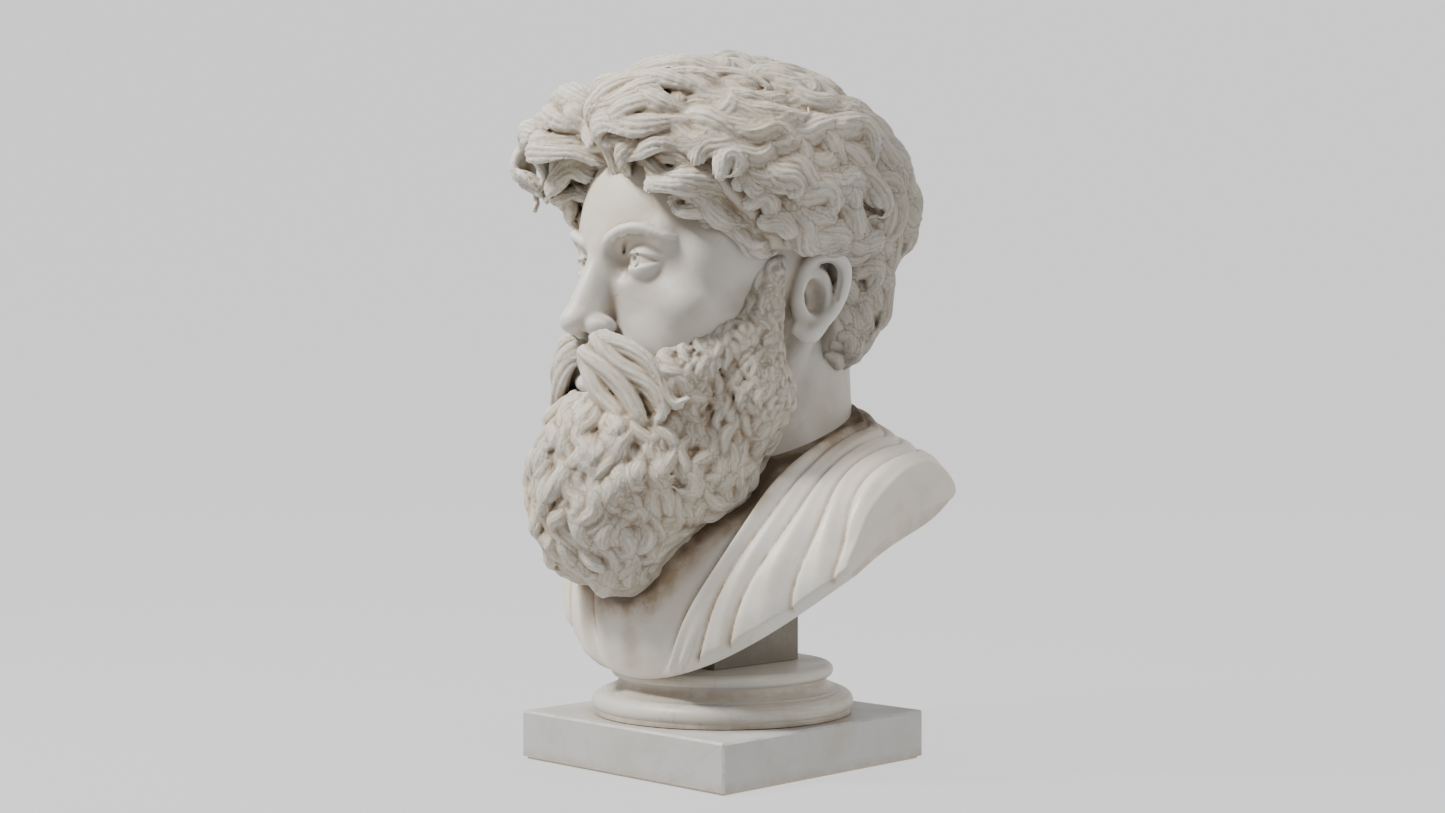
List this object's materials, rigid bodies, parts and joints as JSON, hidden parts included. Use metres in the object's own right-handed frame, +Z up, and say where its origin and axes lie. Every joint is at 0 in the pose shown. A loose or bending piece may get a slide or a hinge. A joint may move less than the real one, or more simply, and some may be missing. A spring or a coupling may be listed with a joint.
{
  "type": "marble bust",
  "caption": "Life-size marble bust of a bearded, curly-haired man in a draped mantle, on a turned socle and a square plinth; it turns on its centre rod.",
  "frame": {"origin": "centre of the underside, on the table", "axes": "+Z up, the bust's chest faces -Y, +X is the sitter's left"},
  "size_m": [0.28, 0.2791, 0.499],
  "materials": {
    "felt": "pressed wool felt, tan",
    "plinth_marble": "honed, a little dusty",
    "lead": "dull lead sheet",
    "steel": "plain drawn steel",
    "socle_marble": "honed and worn",
    "bronze": "turned bronze",
    "fibre": "pressed fibre",
    "grout": "lime grout",
    "block_marble": "rubbed, stained",
    "statuary_marble": "honed, stained in the folds"
  },
  "bodies": {
    "base": {"base_felt": "felt", "plinth": "plinth_marble", "plinth_bedding": "lead", "socle_pins": "steel", "socle": "socle_marble", "rod_bush": "bronze", "friction_washer": "fibre"},
    "bust": {"thrust_washer": "bronze", "centre_rod": "steel", "lock_nuts": "steel", "spring_washer": "steel", "plate_washer": "steel", "rod_grout": "grout", "support_block": "block_marble", "block_pins": "steel", "chest": "statuary_marble", "neck_bedding": "grout", "neck_dowel": "steel", "head": "statuary_marble"}
  },
  "joints": [
    {"name": "bust_turn", "type": "hinge", "parent": "base", "child": "bust", "pos_m": [0, 0, 0.05], "axis": [0, 0, 1], "continuous": true}
  ]
}
